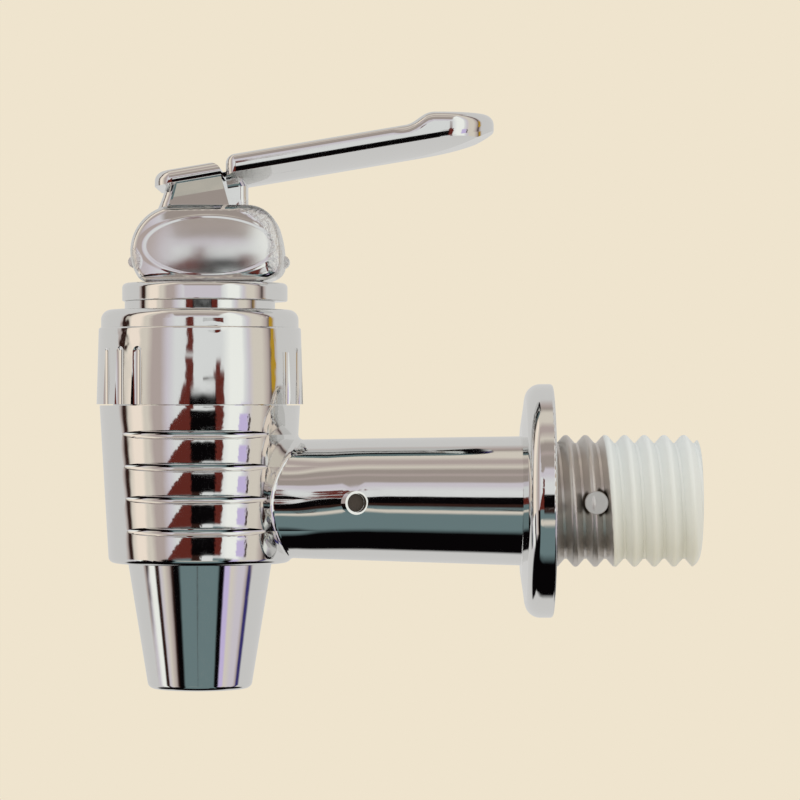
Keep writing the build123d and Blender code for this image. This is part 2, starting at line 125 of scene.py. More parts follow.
class TapFinishes(bpy.types.PropertyGroup):
    """Colours and sizes of the tap's finishes."""

    chrome: colour("Chrome", "Bright chrome over nickel on moulded plastic", "#E9E9E8")
    dull_plating: colour("Dull plating", "Thin satin plating on the first turns", "#CEC9C4")
    bare_plastic: colour("Bare plastic", "Translucent white plastic past the plating", "#D9DDDB")
    # Painted shade: a dark tone that stands in for the shade in the pipe boss's hollow and round
    # the pip's foot
    painted_dark_shade: colour("Gate mark", "Dull hollow of the round boss on the pipe", "#41382F")
    # The same pale tone is also the painted highlight on the flat face of the thread's pip
    frosted_plating_and_pip_highlight: colour("Frosted plating", "Rough pale plating round the lever's ears", "#F0F0EE")
    steel: colour("Steel", "Turned stainless steel", "#B9B6B0")
    silicone: colour("Silicone", "Translucent white silicone", "#E9E9E4")
    seal_rubber: colour("Seal rubber", "Black nitrile rubber", "#1B1B1C")
    plating_edge: length("Plating edge", "How far the plating runs along the shank", 6.6 * MM)
    sink_depth: length("Sink depth", "Depth of the moulding's broad waves", 0.03 * MM)
    wave_depth: length("Wave depth", "Depth of the small waves of the plating", 0.005 * MM)
    rib_crown: length("Rib crown", "How far each rib of the body is crowned", 0.09 * MM)
    collar_crown: length("Collar crown", "How far the bonnet's collar is crowned", 0.13 * MM)
    spring_wire_r: length("Spring wire", "Radius of the return spring's wire", 0.5 * MM)
    spring_turns: IntProperty(
        name="Spring turns", description="Turns of the return spring", default=6
    )
    stem_travel: length("Stem travel", "How far the pressed lever lifts the stem", 2.97 * MM)


class TapStudio(bpy.types.PropertyGroup):
    """Colours and places of the studio."""

    background: colour("Background", "Plain wall and floor", "#EFE4CE")
    daylight: colour("Daylight", "Even light of the studio", "#F3F2F0")
    room: colour("Room", "Pale far side of the room", "#D5D4D2")
    wall: colour("Wall", "Light wall behind the camera", "#E4E6E5")
    window: colour("Window", "Bright window at the right", "#FCFEF8")
    cream_card: colour("Cream card", "Warm reflecting card at the left", "#FEEFDF")
    taupe_wall: colour("Taupe wall", "Wall at the left and part of the ceiling", "#B9ABA6")
    shade: colour("Shade", "Shaded part of the ceiling and walls", "#A59A93")
    lilac_wall: colour("Lilac wall", "Cool wall in front and at the right", "#D5CED6")
    beige_wall: colour("Beige wall", "Warm wall at the right", "#DED6C9")
    lilac_card: colour("Lilac card", "Small lilac card at the right", "#CDBFE6")
    olive_strip: colour("Olive strip", "Thin olive strip at the far right", "#B9932E")
    navy_strip: colour("Navy strip", "Thin navy strip at the far right", "#3A3470")
    dark_gap: colour("Dark gap", "Dark gaps between the cards", "#33201B")
    brown_post: colour("Brown post", "Turned wooden post and rail", "#652C25")
    black_cloth: colour("Black cloth", "Black cloth before the tap and under it", "#080607")
    table: colour("Table", "Grey-green table top before the tap", "#6E8284")
    floor_drop: length("Floor drop", "How far the floor lies below the spout", 38 * MM)
    distance: length("Camera distance", "From the camera to the tap's middle plane", 408 * MM)
    lens: FloatProperty(name="Lens", description="Focal length in millimetres", default=153.0)


def add_node(tree, kind, inputs=(), output=0, **settings):
    """Adds a node with its settings and links, and gives one of its outputs, or the node."""
    node = tree.nodes.new(kind)
    for name, value in settings.items():
        setattr(node, name, value)
    for name, value in dict(inputs).items():
        if isinstance(value, bpy.types.NodeSocket):
            tree.links.new(value, node.inputs[name])
        else:
            node.inputs[name].default_value = value
    return node.outputs[output] if node.outputs else node


def opaque(tint):
    """The four parts of a solid colour."""
    return (*tint, 1.0)


def new_material(name):
    """A material with an empty node tree."""
    material = bpy.data.materials.new(name)
    material.use_nodes = True
    material.node_tree.nodes.clear()
    return material, material.node_tree


def dress(node_name, material):
    """Puts a material on a node of the frame."""
    mesh_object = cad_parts[node_name]
    if not mesh_object.material_slots:
        mesh_object.data.materials.append(material)
    for slot in mesh_object.material_slots:
        slot.material = material


def add_place(tree, space="Object"):
    """Places on a piece, or ways into the room, and the same along X, Y and Z."""
    place = add_node(tree, "ShaderNodeTexCoord", output=space)
    along = add_node(tree, "ShaderNodeSeparateXYZ", {"Vector": place}).node.outputs
    return place, along


def between(tree, value, low, high, edge):
    """1 where a value lies between two others, and 0 elsewhere, with soft edges."""
    above, below = [
        add_node(
            tree,
            MAP_RANGE,
            {"Value": value, "From Min": outside, "From Max": inside},
            interpolation_type="SMOOTHSTEP",
        )
        for outside, inside in ((low - edge, low + edge), (high + edge, high - edge))
    ]
    return add_node(tree, MATH, {0: above, 1: below}, operation="MULTIPLY")


def share_of_way(tree, place, middle, reach):
    """The distance from a patch's middle as a share of its reach."""
    back = [-m for m in middle]
    scale = [1.0 / r if r else 0.0 for r in reach]
    moved = add_node(tree, "ShaderNodeVectorMath", {0: place, 1: back}, operation="ADD")
    sized = add_node(tree, "ShaderNodeVectorMath", {0: moved, 1: scale}, operation="MULTIPLY")
    return add_node(tree, "ShaderNodeVectorMath", {0: sized}, output="Value", operation="LENGTH")


def near(tree, place, middle, reach, edge):
    """1 inside a patch, and 0 outside, with a soft edge."""
    far = share_of_way(tree, place, middle, reach)
    return add_node(
        tree,
        MAP_RANGE,
        {"Value": far, "From Min": 1.0 + edge, "From Max": 1.0 - edge},
        interpolation_type="SMOOTHSTEP",
    )


def crown(tree, value, low, high, depth):
    """The height of a low arch between two values, such as the crowned face of a rib."""
    share = add_node(tree, MAP_RANGE, {"Value": value, "From Min": low, "From Max": high})
    rest = add_node(tree, MATH, {0: 1.0, 1: share}, operation="SUBTRACT")
    arch = add_node(tree, MATH, {0: share, 1: rest}, operation="MULTIPLY")
    return add_node(tree, MATH, {0: arch, 1: 4 * depth}, operation="MULTIPLY")


# The plating's broad sinks, small waves and fine haze: their size and their detail
SINK = (9 * MM, 0.0)
WAVES = (2.5 * MM, 1.0)
HAZE = (1.1 * MM, 4.0)
# The haze from clear to cloudy, and the plating's roughness at each end
HAZE_SHOWN = (0.35, 0.75)
PLATING_ROUGHNESS = (0.04, 0.08)


def add_plating(tree, place, finishes, relief):
    """The relief, the roughness and the haze of plated plastic."""
    sink, waves, haze = [
        add_node(tree, NOISE, {"Vector": place, "Scale": 1 / size, "Detail": detail})
        for size, detail in (SINK, WAVES, HAZE)
    ]
    height = add_node(tree, MATH, {0: waves, 1: finishes.wave_depth}, operation="MULTIPLY")
    height = add_node(
        tree, MATH, {0: sink, 1: finishes.sink_depth, 2: height}, operation="MULTIPLY_ADD"
    )
    height = add_node(tree, MATH, {0: height, 1: relief}, operation="ADD")
    rough = add_node(
        tree,
        MAP_RANGE,
        {
            "Value": haze,
            "From Min": HAZE_SHOWN[0],
            "From Max": HAZE_SHOWN[1],
            "To Min": PLATING_ROUGHNESS[0],
            "To Max": PLATING_ROUGHNESS[1],
        },
    )
    return height, rough, haze


def add_surface(tree, skin, metallic, rough, height):
    """Ends a material with its colour, metal, roughness and relief."""
    normal = add_node(tree, "ShaderNodeBump", {"Height": height, "Distance": 1.0})
    shader = add_node(
        tree,
        "ShaderNodeBsdfPrincipled",
        {"Base Color": skin, "Metallic": metallic, "Roughness": rough, "Normal": normal},
    )
    add_node(tree, "ShaderNodeOutputMaterial", {"Surface": shader})


# How far the disc's rim looks up, as a slope of the relief
DISC_DRAFT = 0.17


class TAP_OT_plate_disc(bpy.types.Operator):
    """Bright chrome plating on the wear disc"""

    bl_idname = "tap.plate_disc"
    bl_label = "Plate Wear Disc"

    def execute(self, context):
        finishes = context.scene.tap_finishes
        # Bright chrome on moulded ABS: a mirror. The rim's mould draft turns it slightly upwards.
        material, tree = new_material("bright_chrome_on_abs_disc")
        place, along = add_place(tree)
        draft = add_node(tree, MATH, {0: along["Z"], 1: -DISC_DRAFT}, operation="MULTIPLY")
        height, rough, _ = add_plating(tree, place, finishes, draft)
        add_surface(tree, opaque(finishes.chrome), 1.0, rough, height)
        dress("cam_disc", material)
        return {"FINISHED"}


# The height of the bonnet's collar and of its neck, and how far the neck looks down, as a slope
COLLAR_HEIGHT = 9.15 * MM
NECK_HEIGHT = 1.0 * MM
NECK_DRAFT = 0.03
# The crinkled plating, and where it lies
CRINKLE_SIZE = 1.3 * MM
CRINKLE_DETAIL = 1.0
CRINKLE_DEPTH = 0.06 * MM
CRINKLED_LEFT = patch((-50.6, -8.6, 19.6), (2.0, 3.0, 2.6), 0.5)
CRINKLED_FRONT = patch((-40.2, -11.7, 20.6), (1.3, 3.0, 0.5), 0.5)


class TAP_OT_plate_bonnet(bpy.types.Operator):
    """Bright chrome plating on the bonnet, with its crowned collar and crinkled spots"""

    bl_idname = "tap.plate_bonnet"
    bl_label = "Plate Bonnet"

    def execute(self, context):
        finishes = context.scene.tap_finishes
        # Bright chrome on moulded ABS: the crowned collar draws the room out along its height
        material, tree = new_material("bright_chrome_on_abs_bonnet")
        place, along = add_place(tree)
        collar_top = BONNET_LOW.z + COLLAR_HEIGHT
        relief = crown(tree, along["Z"], BONNET_LOW.z, collar_top, finishes.collar_crown)
        neck_low = BONNET_HIGH.z - NECK_HEIGHT
        neck_z = add_node(tree, MATH, {0: along["Z"], 1: neck_low}, operation="MAXIMUM")
        relief = add_node(
            tree, MATH, {0: neck_z, 1: NECK_DRAFT, 2: relief}, operation="MULTIPLY_ADD"
        )
        # Crinkled plating: two rough spots where the metal did not lie flat
        crinkle = add_node(
            tree, NOISE, {"Vector": place, "Scale": 1 / CRINKLE_SIZE, "Detail": CRINKLE_DETAIL}
        )
        left_spot = near(tree, place, *CRINKLED_LEFT)
        front_spot = near(tree, place, *CRINKLED_FRONT)
        spots = add_node(tree, MATH, {0: left_spot, 1: front_spot}, operation="MAXIMUM")
        crinkled = add_node(tree, MATH, {0: crinkle, 1: spots}, operation="MULTIPLY")
        relief = add_node(
            tree, MATH, {0: crinkled, 1: CRINKLE_DEPTH, 2: relief}, operation="MULTIPLY_ADD"
        )
        height, rough, _ = add_plating(tree, place, finishes, relief)
        add_surface(tree, opaque(finishes.chrome), 1.0, rough, height)
        dress("bonnet", material)
        return {"FINISHED"}


# A point of the arm's lower edge, seen from the front, and the arm's slope
ARM_EDGE_X, ARM_EDGE_Z = -38.85 * MM, 38.78 * MM
ARM_SLOPE = math.tan(math.radians(9.6))
# The arm's side rolls under at its lower edge: how high that reaches, the slope at the edge, and
# how much less it is a metre further up
ROLL_HEIGHT = 0.85 * MM
ROLL_SLOPE = 0.17
ROLL_EASE = 0.1 / MM
# The rounded upper edge, as heights above the lower one, and how much flatter than round it is
UPPER_EDGE = (1.0 * MM, 2.0 * MM)
UPPER_FLATNESS = 0.25 / MM
# The stretch of the lever before its paddle, and how softly that ends
BEFORE_PADDLE_X = (-60.0 * MM, -18.5 * MM)
PADDLE_BLEND = 0.8 * MM
# The neck's front face, its height, and how far it leans back, as a slope
NECK_FRONT_Y = (-5.43 * MM, -5.37 * MM)
NECK_FRONT_EDGE = 0.01 * MM
NECK_Z = (33.7 * MM, 39.4 * MM)
NECK_LEAN = 0.235
# The lever's base: its top, how far its front looks up, as a slope, and where that front lies
BASE_TOP_Z = 35.3 * MM
BASE_TILT = 0.1
BASE_FRONT_Y = (-20.0 * MM, -5.7 * MM)
BASE_FRONT_EDGE = 0.15 * MM
# The low lens in that front, its blur, and the rim round it in shares of the lens's reach
LENS = patch((-40.9, 0, 30.3), (7.4, None, 3.3), 0.03)
LENS_SWELL = 0.3 * MM
LENS_ROUGHNESS = 0.17
RIM_SHARE = (1.03, 1.12)
RIM_EDGE = 0.05
RIM_HEIGHT = 0.05 * MM
# The oval of the front that stays bright, and the burnt spots round it with their grain
BRIGHT_OVAL = patch((-41.2, 0, 30.4), (7.6, None, 4.9), 0.06)
BURNT_SHOULDER = patch((-34.2, 0, 33.0), (4.2, None, 3.6), 0.12)
BURNT_RIGHT_EAR = patch((-32.0, 0, 28.4), (1.9, None, 1.9), 0.2)
BURNT_LEFT_EAR = patch((-50.6, 0, 28.6), (1.6, None, 1.6), 0.2)
BURNT_GRAIN_SIZE = 0.45 * MM
BURNT_GRAIN_DETAIL = 3.0
BURNT_GRAIN_DEPTH = 0.16 * MM
BURNT_ROUGHNESS = 0.3


class TAP_OT_plate_lever(bpy.types.Operator):
    """Chrome plating on the lever, soft on the lens of its base and frosted round its ears"""

    bl_idname = "tap.plate_lever"
    bl_label = "Plate Lever"

    def execute(self, context):
        finishes = context.scene.tap_finishes
        # Chrome on moulded ABS: bright on the arm, slightly blurred on the lens, and rough and
        # pale where the plating is burnt, on the two ears and the upper right shoulder of the base
        material, tree = new_material("chrome_on_abs_lever")
        place, along = add_place(tree)
        front = between(tree, along["Y"], *BASE_FRONT_Y, BASE_FRONT_EDGE)
        relief = self.shape_arm(tree, along)
        relief = self.lean_neck_and_base(tree, along, relief)
        relief = self.swell_lens(tree, place, front, relief)
        height, rough, _ = add_plating(tree, place, finishes, relief)

        burnt = self.find_burnt_spots(tree, place)
        grain = add_node(
            tree,
            NOISE,
            {"Vector": place, "Scale": 1 / BURNT_GRAIN_SIZE, "Detail": BURNT_GRAIN_DETAIL},
        )
        grain = add_node(tree, MATH, {0: grain, 1: burnt}, operation="MULTIPLY")
        height = add_node(
            tree, MATH, {0: grain, 1: BURNT_GRAIN_DEPTH, 2: height}, operation="MULTIPLY_ADD"
        )
        lens = near(tree, place, *LENS)
        lens = add_node(tree, MATH, {0: lens, 1: front}, operation="MULTIPLY")
        rough = add_node(
            tree, MATH, {0: lens, 1: LENS_ROUGHNESS, 2: rough}, operation="MULTIPLY_ADD"
        )
        rough = add_node(
            tree, MATH, {0: burnt, 1: BURNT_ROUGHNESS, 2: rough}, operation="MULTIPLY_ADD"
        )
        skin = add_node(
            tree,
            MIX,
            {0: burnt, UNDER: opaque(finishes.chrome), OVER: opaque(finishes.frosted_plating_and_pip_highlight)},
            **OF_COLOURS,
        )
        add_surface(tree, skin, 1.0, rough, height)
        dress("lever", material)
        return {"FINISHED"}

    def shape_arm(self, tree, along):
        """The arm's side, rolled under at its lower edge and flattened at its rounded upper one."""
        up = add_node(
            tree, MATH, {0: along["X"], 1: -ARM_SLOPE, 2: along["Z"]}, operation="MULTIPLY_ADD"
        )
        low_edge = ARM_EDGE_Z - ARM_EDGE_X * ARM_SLOPE
        up = add_node(tree, MATH, {0: up, 1: low_edge}, operation="SUBTRACT")
        low_up = add_node(tree, CLAMP, {"Value": up, "Min": 0.0, "Max": ROLL_HEIGHT})
        slope = add_node(
            tree, MATH, {0: low_up, 1: -ROLL_EASE, 2: ROLL_SLOPE}, operation="MULTIPLY_ADD"
        )
        rolled = add_node(tree, MATH, {0: low_up, 1: slope}, operation="MULTIPLY")
        low, high = UPPER_EDGE
        high_up = add_node(tree, CLAMP, {"Value": up, "Min": low, "Max": high})
        high_up = add_node(tree, MATH, {0: high_up, 1: low}, operation="SUBTRACT")
        before_paddle = between(tree, along["X"], *BEFORE_PADDLE_X, PADDLE_BLEND)
        flatter = add_node(tree, MATH, {0: high_up, 1: before_paddle}, operation="MULTIPLY")
        flatter = add_node(tree, MATH, {0: flatter, 1: UPPER_FLATNESS}, operation="MULTIPLY")
        return add_node(
            tree, MATH, {0: high_up, 1: flatter, 2: rolled}, operation="MULTIPLY_ADD"
        )

    def lean_neck_and_base(self, tree, along, relief):
        """The neck's front leans back, and the base looks slightly up."""
        neck = between(tree, along["Y"], *NECK_FRONT_Y, NECK_FRONT_EDGE)
        low, high = NECK_Z
        neck_z = add_node(tree, CLAMP, {"Value": along["Z"], "Min": low, "Max": high})
        lean = add_node(
            tree, MATH, {0: neck_z, 1: -NECK_LEAN, 2: NECK_LEAN * high}, operation="MULTIPLY_ADD"
        )
        relief = add_node(tree, MATH, {0: neck, 1: lean, 2: relief}, operation="MULTIPLY_ADD")
        base_z = add_node(tree, MATH, {0: along["Z"], 1: BASE_TOP_Z}, operation="MINIMUM")
        return add_node(
            tree, MATH, {0: base_z, 1: -BASE_TILT, 2: relief}, operation="MULTIPLY_ADD"
        )

    def swell_lens(self, tree, place, front, relief):
        """The base's front swells to a low lens inside a thin raised rim."""
        middle, reach, _ = LENS
        way = share_of_way(tree, place, middle, reach)
        inside = add_node(tree, MATH, {0: way, 1: 1.0}, operation="MINIMUM")
        inside = add_node(tree, MATH, {0: inside, 1: inside}, operation="MULTIPLY")
        rim = between(tree, way, *RIM_SHARE, RIM_EDGE)
        swell = add_node(
            tree, MATH, {0: inside, 1: -LENS_SWELL, 2: LENS_SWELL}, operation="MULTIPLY_ADD"
        )
        swell = add_node(tree, MATH, {0: rim, 1: RIM_HEIGHT, 2: swell}, operation="MULTIPLY_ADD")
        return add_node(tree, MATH, {0: swell, 1: front, 2: relief}, operation="MULTIPLY_ADD")

    def find_burnt_spots(self, tree, place):
        """1 on the two ears and on the upper right shoulder beside the bright oval."""
        oval = near(tree, place, *BRIGHT_OVAL)
        not_oval = add_node(tree, MATH, {0: 1.0, 1: oval}, operation="SUBTRACT")
        shoulder = near(tree, place, *BURNT_SHOULDER)
        shoulder = add_node(tree, MATH, {0: shoulder, 1: not_oval}, operation="MULTIPLY")
        right_ear = near(tree, place, *BURNT_RIGHT_EAR)
        left_ear = near(tree, place, *BURNT_LEFT_EAR)
        ears = add_node(tree, MATH, {0: right_ear, 1: left_ear}, operation="MAXIMUM")
        return add_node(tree, MATH, {0: shoulder, 1: ears}, operation="MAXIMUM")


# The ribs between the body's grooves: their spacing, and a height at which one starts
RIB_PITCH = 3.8 * MM
FIRST_RIB_Z = -3.4 * MM
# The round of the body's wall, and of the spout inside it, which has no ribs
BODY_WALL = patch((VALVE_X / MM, 0, 0), (14.2, 14.2, None), 0.14)
SPOUT_WALL = patch((VALVE_X / MM, 0, 0), (9.4, 9.4, None), 0.07)
# Where along the shank's axis the pipe's mould draft comes in, how softly, and its slope
PIPE_X = -26.5 * MM
PIPE_BLEND = 4.5 * MM
PIPE_DRAFT = 0.078
# The flange's seat lies at 0: where the draft ends there, and where the dull plating begins
DRAFT_END_X, DRAFT_END_EDGE = -0.06 * MM, 0.03 * MM
DULL_X, DULL_EDGE = 0.03 * MM, 0.02 * MM
# A place past the shank's end, for what has no end of its own
FAR_OUT_X = 1.0
# The plating's edge on the thread: its tilt, how far it wanders with the haze, how far past the
# given length its middle lies, and its softness
EDGE_TILT = 0.075
EDGE_WANDER = 0.2 * MM
EDGE_OVERRUN = 0.1 * MM
EDGE_SOFTNESS = 0.08 * MM
# The hollow of the pipe's boss, painted dark as painted shade, and the pip on the thread, painted
# pale as a painted highlight, with a ring of painted shade round its foot
SHADED_BOSS_HOLLOW = patch((-23.35, -8.0, 0), (1.14, 0.9, 1.14), 0.02)
THREAD_PIP = patch((4.85, -7.9, 0), (1.3, 0.5, 1.3), 0.05)
PIP_FOOT_SHADE = patch((4.85, -7.0, 0), (1.75, 0.75, 1.75), 0.1)
# How much less metallic the thin plating is, and what the thread and the hollow add in roughness
THIN_PLATING_LOSS = 0.15
THREAD_ROUGHNESS = 0.25
HOLLOW_ROUGHNESS = 0.4


class TAP_OT_plate_body(bpy.types.Operator):
    """Chrome plating on the body, which turns dull on the thread and then stops"""

    bl_idname = "tap.plate_body"
    bl_label = "Plate Body"

    def execute(self, context):
        finishes = context.scene.tap_finishes
        # One moulding of ABS: bright chrome up to the flange, thin satin plating on the first turns
        # of the thread, bare translucent white plastic beyond, and painted shade in the pipe boss's
        # dull hollow
        material, tree = new_material("chrome_body_with_bare_thread")
        place, along = add_place(tree)
        relief = self.crown_ribs(tree, place, along, finishes)
        relief = self.draft_pipe(tree, along, relief)
        height, rough, haze = add_plating(tree, place, finishes, relief)

        bare = self.find_bare_plastic(tree, along, haze, finishes)
        past_seat = between(tree, along["X"], DULL_X, FAR_OUT_X, DULL_EDGE)
        dull = add_node(tree, MATH, {0: past_seat, 1: bare}, operation="SUBTRACT")
        # Painted shade: the boss's hollow is painted dark. It is also made rougher and not
        # metallic.
        shaded_hollow = near(tree, place, *SHADED_BOSS_HOLLOW)
        # The round pip on the thread is painted paler than the thread as a painted highlight of its
        # flat face, and painted shade darkens the ring round its foot
        pip_highlight = near(tree, place, *THREAD_PIP)
        not_pip = add_node(tree, MATH, {0: 1.0, 1: pip_highlight}, operation="SUBTRACT")
        pip_foot_shade = near(tree, place, *PIP_FOOT_SHADE)
        pip_foot_shade = add_node(tree, MATH, {0: pip_foot_shade, 1: not_pip}, operation="MULTIPLY")
        skin = opaque(finishes.chrome)
        for share, tint in (
            (dull, finishes.dull_plating),
            (bare, finishes.bare_plastic),
            (shaded_hollow, finishes.painted_dark_shade),
            (pip_highlight, finishes.frosted_plating_and_pip_highlight),
            (pip_foot_shade, finishes.painted_dark_shade),
        ):
            skin = add_node(tree, MIX, {0: share, UNDER: skin, OVER: opaque(tint)}, **OF_COLOURS)
        plain = add_node(tree, MATH, {0: bare, 1: shaded_hollow}, operation="MAXIMUM")
        metallic = add_node(tree, MATH, {0: 1.0, 1: plain}, operation="SUBTRACT")
        metallic = add_node(
            tree, MATH, {0: dull, 1: -THIN_PLATING_LOSS, 2: metallic}, operation="MULTIPLY_ADD"
        )
        for share, added in ((past_seat, THREAD_ROUGHNESS), (shaded_hollow, HOLLOW_ROUGHNESS)):
            rough = add_node(
                tree, MATH, {0: share, 1: added, 2: rough}, operation="MULTIPLY_ADD"
            )
        add_surface(tree, skin, metallic, rough, height)
        dress("tap_body", material)
        return {"FINISHED"}

    def crown_ribs(self, tree, place, along, finishes):
        """The ribs between the grooves are slightly crowned."""
        ribs = add_node(
            tree,
            MATH,
            {0: along["Z"], 1: 1 / RIB_PITCH, 2: -FIRST_RIB_Z / RIB_PITCH},
            operation="MULTIPLY_ADD",
        )
        rib = add_node(tree, MATH, {0: ribs}, operation="FRACT")
        arch = crown(tree, rib, 0.0, 1.0, finishes.rib_crown)
        wall = near(tree, place, *BODY_WALL)
        spout = near(tree, place, *SPOUT_WALL)
        ribbed = add_node(tree, MATH, {0: wall, 1: spout}, operation="SUBTRACT")
        return add_node(tree, MATH, {0: arch, 1: ribbed}, operation="MULTIPLY")

    def draft_pipe(self, tree, along, relief):
        """The pipe and the flange have a little mould draft: their front looks slightly down."""
        pipe = between(tree, along["X"], PIPE_X, FAR_OUT_X, PIPE_BLEND)
        beyond = between(tree, along["X"], DRAFT_END_X, FAR_OUT_X, DRAFT_END_EDGE)
        drafted = add_node(tree, MATH, {0: pipe, 1: beyond}, operation="SUBTRACT")
        draft = add_node(tree, MATH, {0: along["Z"], 1: PIPE_DRAFT}, operation="MULTIPLY")
        return add_node(tree, MATH, {0: drafted, 1: draft, 2: relief}, operation="MULTIPLY_ADD")

    def find_bare_plastic(self, tree, along, haze, finishes):
        """1 past a tilted plane that follows the thread, with an edge that wanders."""
        out = add_node(
            tree, MATH, {0: along["Z"], 1: EDGE_TILT, 2: along["X"]}, operation="MULTIPLY_ADD"
        )
        out = add_node(tree, MATH, {0: haze, 1: EDGE_WANDER, 2: out}, operation="MULTIPLY_ADD")
        return between(
            tree, out, finishes.plating_edge + EDGE_OVERRUN, FAR_OUT_X, EDGE_SOFTNESS
        )


# The spring's wire as a mesh: its sides, its steps in a turn, how close two points count as one,
# and up to which angle its faces shade as smooth
WIRE_SIDES = 16
STEPS_PER_TURN = 40
SAME_POINT = 0.001 * MM
SMOOTH_ANGLE = math.radians(40)


class TAP_OT_wind_spring(bpy.types.Operator):
    """Return spring wound from wire and attached to the plug lift"""

    bl_idname = "tap.wind_spring"
    bl_label = "Wind Return Spring"

    def execute(self, context):
        finishes = context.scene.tap_finishes
        low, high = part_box("return_spring")
        wire_r = finishes.spring_wire_r
        coil_r = (high.x - low.x) / 2 - wire_r
        rise = high.z - low.z - 2 * wire_r
        bpy.ops.object.select_all(action="DESELECT")
        bpy.ops.mesh.primitive_circle_add(
            vertices=WIRE_SIDES,
            radius=wire_r,
            location=(coil_r, 0, 0),
            rotation=(math.pi / 2, 0, 0),
        )
        coil = context.object
        coil.name = "return_spring_coil"
        bpy.ops.object.transform_apply(location=True, rotation=True)
        bpy.ops.object.modifier_add(type="SCREW")
        screw = coil.modifiers[-1]
        screw.iterations = finishes.spring_turns
        screw.screw_offset = rise / finishes.spring_turns
        screw.steps = STEPS_PER_TURN
        screw.render_steps = STEPS_PER_TURN
        bpy.ops.object.modifier_apply(modifier=screw.name)
        bpy.ops.object.mode_set(mode="EDIT")
        bpy.ops.mesh.select_all(action="SELECT")
        bpy.ops.mesh.remove_doubles(threshold=SAME_POINT)
        bpy.ops.mesh.fill_holes(sides=0)
        bpy.ops.mesh.select_all(action="SELECT")
        bpy.ops.mesh.normals_make_consistent(inside=False)
        bpy.ops.object.mode_set(mode="OBJECT")
        coil.location = (VALVE_X, 0, low.z + wire_r)
        bpy.ops.object.transform_apply(location=True)
        bpy.ops.object.shade_smooth_by_angle(angle=SMOOTH_ANGLE)
        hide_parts("return_spring")
        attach(coil, "plug_lift")
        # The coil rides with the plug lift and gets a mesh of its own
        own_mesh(coil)
        return {"FINISHED"}


# Turning rings on the steel. A wave texture of scale 1 has 3.18 rings to the metre.
RING_SPACING = 0.25 * MM
RINGS_AT_SCALE_1 = 3.18
RING_WOBBLE = 1.5
RING_DETAIL = 2.0
RING_DEPTH = 0.003 * MM
STEEL_ROUGHNESS = (0.22, 0.34)


class TAP_OT_finish_steel(bpy.types.Operator):
    """Turned and drawn stainless steel on the stem, pin, washer and spring"""

    bl_idname = "tap.finish_steel"
    bl_label = "Finish Steel Pieces"

    def execute(self, context):
        finishes = context.scene.tap_finishes
        # Turned stainless steel: a soft metal sheen over fine rings round the axis, drawn wider
        # apart than the tool left them so that they show
        material, tree = new_material("turned_stainless_steel")
        place = add_node(tree, "ShaderNodeTexCoord", output="Object")
        rings = add_node(
            tree,
            "ShaderNodeTexWave",
            {
                "Vector": place,
                "Scale": 1 / RING_SPACING / RINGS_AT_SCALE_1,
                "Distortion": RING_WOBBLE,
                "Detail": RING_DETAIL,
            },
            output="Fac",
            bands_direction="Z",
        )
        low, high = STEEL_ROUGHNESS
        rough = add_node(tree, MAP_RANGE, {"Value": rings, "To Min": low, "To Max": high})
        height = add_node(tree, MATH, {0: rings, 1: RING_DEPTH}, operation="MULTIPLY")
        add_surface(tree, opaque(finishes.steel), 1.0, rough, height)
        for node_name in ("stem", "pivot_pin", "spring_washer", "return_spring"):
            dress(node_name, material)
        bpy.data.objects["return_spring_coil"].data.materials.append(material)
        return {"FINISHED"}


# The soft pieces' grain, and how far their roughness strays from its middle
SEAL_GRAIN_SIZE = 0.4 * MM
SEAL_GRAIN_DETAIL = 3.0
SEAL_GRAIN_DEPTH = 0.012 * MM
SEAL_ROUGHNESS_SPREAD = 0.06


class TAP_OT_finish_seals(bpy.types.Operator):
    """Silicone and rubber on the plug, seal and sealing ring"""

    bl_idname = "tap.finish_seals"
    bl_label = "Finish Soft Pieces"

    def execute(self, context):
        finishes = context.scene.tap_finishes
        # Moulded silicone and nitrile rubber: a soft even sheen over a faint grain
        for name, tint, roughness, node_names in (
            ("moulded_silicone", finishes.silicone, 0.42, ("seat_plug", "bonnet_seal")),
            ("nitrile_rubber", finishes.seal_rubber, 0.5, ("stem_o_ring",)),
        ):
            material, tree = new_material(name)
            place = add_node(tree, "ShaderNodeTexCoord", output="Object")
            grain = add_node(
                tree,
                NOISE,
                {"Vector": place, "Scale": 1 / SEAL_GRAIN_SIZE, "Detail": SEAL_GRAIN_DETAIL},
            )
            height = add_node(tree, MATH, {0: grain, 1: SEAL_GRAIN_DEPTH}, operation="MULTIPLY")
            low, high = roughness - SEAL_ROUGHNESS_SPREAD, roughness + SEAL_ROUGHNESS_SPREAD
            rough = add_node(tree, MAP_RANGE, {"Value": grain, "To Min": low, "To Max": high})
            add_surface(tree, opaque(tint), 0.0, rough, height)
            for node_name in node_names:
                dress(node_name, material)
        return {"FINISHED"}


HALF_TURN = 180.0
